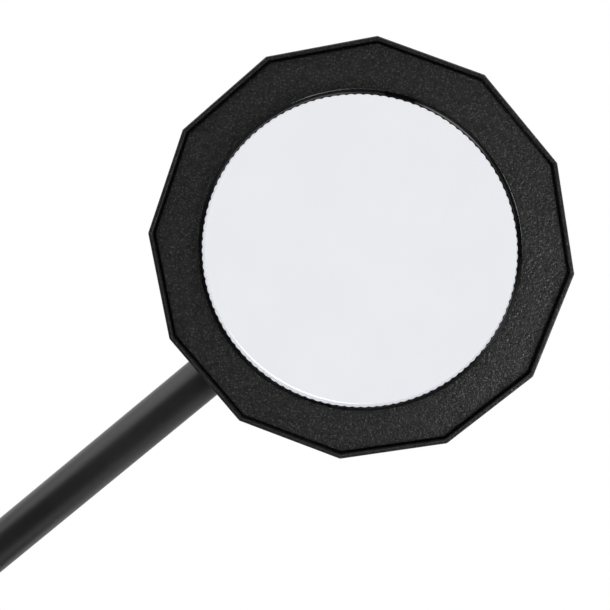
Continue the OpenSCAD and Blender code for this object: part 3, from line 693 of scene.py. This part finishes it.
UPPER_LEN = (head_at - elbow_at).length / MM
LOWER_LEN = (elbow_at - shoulder_at).length / MM
tube_piece("upper_arm_tube", "upper_tube", IN_UPPER_ARM, SOCKET_DEPTH, UPPER_LEN - HEAD_END)
tube_piece("lower_arm_tube", "lower_tube", IN_LOWER_ARM, SOCKET_DEPTH, LOWER_LEN - YOKE_END)

for node in ("elbow_tongue", "elbow_yoke", "shoulder_tongue", "turntable"):
    finish_piece(softened_copy(node, 0.5), [node])
for node in ("elbow_bolt", "shoulder_bolt"):
    finish_piece(softened_copy(node, 0.3, 1.0), [node])
for node in ("elbow_knob", "shoulder_knob"):
    finish_piece(softened_copy(node, 0.8, 1.5, 3), [node])


# ---- base --------------------------------------------------------------------------------

base_low, base_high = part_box("base_cover")
BASE_R = (base_high.x - base_low.x) / 2 / MM / math.cos(HALF)
BASE_H = base_high.z / MM
PAD = base_low.z / MM
BASE_BEVEL_W, BASE_BEVEL_H = 7, 6
COVER_WALL = 2.6
SPINDLE_HOLE_R = 10.0
cover = into_object(lathe([
    (BASE_R, PAD, 0.5, 2.0),
    (BASE_R, BASE_H - BASE_BEVEL_H, 0.8, 2.0),
    (BASE_R - BASE_BEVEL_W, BASE_H, 1.5, 2.0),
    (SPINDLE_HOLE_R, BASE_H, 0, None),
    (SPINDLE_HOLE_R, BASE_H - COVER_WALL, 0, None),
    (BASE_R - BASE_BEVEL_W - 3, BASE_H - COVER_WALL, 0, 2.0),
    (BASE_R - COVER_WALL, BASE_H - BASE_BEVEL_H - 2, 0, 2.0),
    (BASE_R - COVER_WALL, PAD, 0, 2.0),
]), "base_moulding", Matrix.Identity(4))
button = middle("power_button")
at_button = Matrix.Translation((button.x, button.y, 0))
BUTTON_HOLE_R = 8.0
inlet_low, inlet_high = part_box("usb_inlet")
INLET_GAP = 0.4
cut(cover, [
    cylinder_bm(BUTTON_HOLE_R, BASE_H - 10, BASE_H + 5, at_button, 96),
    block_bm((inlet_low.x / MM - INLET_GAP, inlet_low.y / MM, inlet_low.z / MM - INLET_GAP),
             (inlet_high.x / MM + INLET_GAP, inlet_high.y / MM + 10, inlet_high.z / MM + INLET_GAP)),
])
finish_piece(even_normals(cover), ["base_cover"])

# Button: a dished cap, a flange under the cover and a foot
button_low, button_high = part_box("power_button")
button_top = button_high.z / MM
DISH_R, DISH_DEPTH, DISH_EDGE = 30.0, 0.5, 5.47
CAP_R, FLANGE_R, FOOT_R = 7.7, 9.2, 1.8
flange_top = BASE_H - 3.0
flange_low = BASE_H - 4.1
dish = [
    (r, button_top - DISH_DEPTH + DISH_R - math.sqrt(DISH_R * DISH_R - r * r), 0, None)
    for r in (0.02, 1.5, 3, 4.5)]
push = into_object(lathe([
    *dish, (DISH_EDGE, button_top, 0.3, None), (CAP_R, button_top, 0.7, None),
    (CAP_R, flange_top, 0, None), (FLANGE_R, flange_top, 0.2, None),
    (FLANGE_R, flange_low, 0.2, None), (FOOT_R, flange_low, 0, None),
    (FOOT_R, button_low.z / MM, 0, None),
], closed=False), "push_button", at_button)
finish_piece(even_normals(push), ["power_button"])

finish_piece(softened_copy("base_pad", 0.35, 5), ["base_pad"])


# ---- stage (metres) ----------------------------------------------------------------------

def seen_directly(tree):
    """1 for what the camera sees, straight or through the glass, and 0 for light and reflections."""
    path, seen = tree.nodes.new("ShaderNodeLightPath"), tree.nodes.new("ShaderNodeMath")
    seen.operation = "MAXIMUM"
    tree.links.new(path.outputs["Is Camera Ray"], seen.inputs[0])
    tree.links.new(path.outputs["Is Transmission Ray"], seen.inputs[1])
    return seen.outputs[0]


def ramp(tree, value, from_low, from_high, to_low, to_high):
    """Smooth step from one value to another."""
    made = tree.nodes.new("ShaderNodeMapRange")
    made.interpolation_type = "SMOOTHSTEP"
    for key, number in (("From Min", from_low), ("From Max", from_high), ("To Min", to_low), ("To Max", to_high)):
        made.inputs[key].default_value = number
    tree.links.new(value, made.inputs["Value"])
    return made.outputs["Result"]


def white_unless(tree, strength):
    """White where it is seen directly, and the given strength where it lights the lamp."""
    pick = tree.nodes.new("ShaderNodeMix")
    tree.links.new(seen_directly(tree), pick.inputs["Factor"])
    tree.links.new(strength, pick.inputs["A"])
    pick.inputs["B"].default_value = 1.0
    return pick.outputs["Result"]


FLOOR_REACH = 12.0
FLOOR_DROP = 0.0004
MATT_WITHIN, WHITE_BEYOND = 0.15, 0.38    # distances from the lamp
FLOOR_NEAR, SKY_NEAR = 0.08, 0.05         # strengths on the viewer's side, where 1 is white


def floor_finish():
    """Pale matt floor that turns into plain white light away from the lamp, dim near the viewer."""
    material = bpy.data.materials.new("Pale floor")
    material.use_nodes = True
    tree = material.node_tree
    tree.nodes.clear()
    add, link = tree.nodes.new, tree.links.new
    where, split, away = (
        add(f"ShaderNode{kind}") for kind in ("TexCoord", "SeparateXYZ", "VectorMath"))
    away.operation = "LENGTH"
    link(where.outputs["Object"], away.inputs[0])
    link(where.outputs["Object"], split.inputs[0])
    matt, light, both, out = (add(f"ShaderNode{kind}") for kind in (
        "BsdfDiffuse", "Emission", "MixShader", "OutputMaterial"))
    matt.inputs["Color"].default_value = (0.86, 0.86, 0.86, 1)
    strength = ramp(tree, split.outputs["Y"], -0.05, 0.6, FLOOR_NEAR, 1.0)
    link(white_unless(tree, strength), light.inputs["Strength"])
    link(ramp(tree, away.outputs["Value"], MATT_WITHIN, WHITE_BEYOND, 0, 1), both.inputs["Fac"])
    link(matt.outputs[0], both.inputs[1])
    link(light.outputs[0], both.inputs[2])
    link(both.outputs[0], out.inputs["Surface"])
    return material


def studio_world():
    """White all round to the eye, and for lighting white behind the lamp and dim before it."""
    world = bpy.data.worlds.new("Studio")
    world.use_nodes = True
    tree = world.node_tree
    tree.nodes.clear()
    add, link = tree.nodes.new, tree.links.new
    where, split, light, out = (add(f"ShaderNode{kind}") for kind in (
        "TexCoord", "SeparateXYZ", "Background", "OutputWorld"))
    link(where.outputs["Generated"], split.inputs[0])
    light.inputs["Color"].default_value = (1, 1, 1, 1)
    strength = ramp(tree, split.outputs["Y"], 0.0, 0.4, SKY_NEAR, 1.0)
    link(white_unless(tree, strength), light.inputs["Strength"])
    link(light.outputs[0], out.inputs["Surface"])
    return world


floor_mesh = bpy.data.meshes.new("floor")
floor_mesh.from_pydata(
    [(x * FLOOR_REACH, y * FLOOR_REACH, 0) for x, y in ((-1, -1), (1, -1), (1, 1), (-1, 1))],
    [], [(0, 1, 2, 3)])
floor = bpy.data.objects.new("floor", floor_mesh)
floor.location.z = -FLOOR_DROP
bpy.context.scene.collection.objects.link(floor)
floor.data.materials.append(floor_finish())
bpy.context.scene.world = studio_world()


def softbox(name, direction, distance, width, power, colour=(1, 1, 1), glossy=True):
    """Round soft light aimed at the head; glossy is whether reflections show it."""
    data = bpy.data.lights.new(name, "AREA")
    data.shape, data.size, data.energy, data.color = "DISK", width, power, colour
    lamp = bpy.data.objects.new(name, data)
    away = Vector(direction).normalized()
    lamp.location = head_at + away * distance
    lamp.rotation_euler = away.to_track_quat("Z", "Y").to_euler()
    lamp.visible_camera = False
    lamp.visible_glossy = glossy
    lamp.visible_transmission = False
    bpy.context.scene.collection.objects.link(lamp)


HIGH_RIGHT = (0.607, -0.05, 0.795)    # where the ring's bevel mirrors a light to the camera
softbox("key", (-0.64, -0.28, 0.73), 1.1, 1.5, 10.5)
softbox("low_right", (0.72, -0.5, -0.48), 0.24, 0.12, 0.33, (1.0, 0.99, 0.985))
softbox("high_right", HIGH_RIGHT, 1.0, 0.56, 2.9)
softbox("high_right_fill", HIGH_RIGHT, 1.0, 2.2, 6)
softbox("front", (-0.2, -0.9, -0.4), 1.3, 1.2, 5, glossy=False)

# ---- camera (metres, from the middle of the lip) -----------------------------------------

AZIMUTH, LOOK_DOWN = math.radians(6.62), math.radians(10.39)
DISTANCE, ASIDE, ABOVE = 0.3989, 0.01481, 0.01440
FOCAL_MM = 84.19
forward = Vector((
    -math.sin(AZIMUTH) * math.cos(LOOK_DOWN), math.cos(AZIMUTH) * math.cos(LOOK_DOWN),
    -math.sin(LOOK_DOWN)))
right = forward.cross(UP).normalized()
above = right.cross(forward)
lens_data = bpy.data.cameras.new("camera")
lens_data.lens, lens_data.sensor_width = FOCAL_MM, 36
lens_data.clip_start = 0.01
camera = bpy.data.objects.new("camera", lens_data)
lip_centre = head_at + VIEWER * LIP * MM
camera.matrix_world = Matrix.Translation(
    lip_centre - forward * DISTANCE - right * ASIDE - above * ABOVE
) @ Matrix((right, above, -forward)).transposed().to_4x4()
bpy.context.scene.collection.objects.link(camera)
bpy.context.scene.camera = camera
bpy.context.scene.view_settings.view_transform = "Standard"
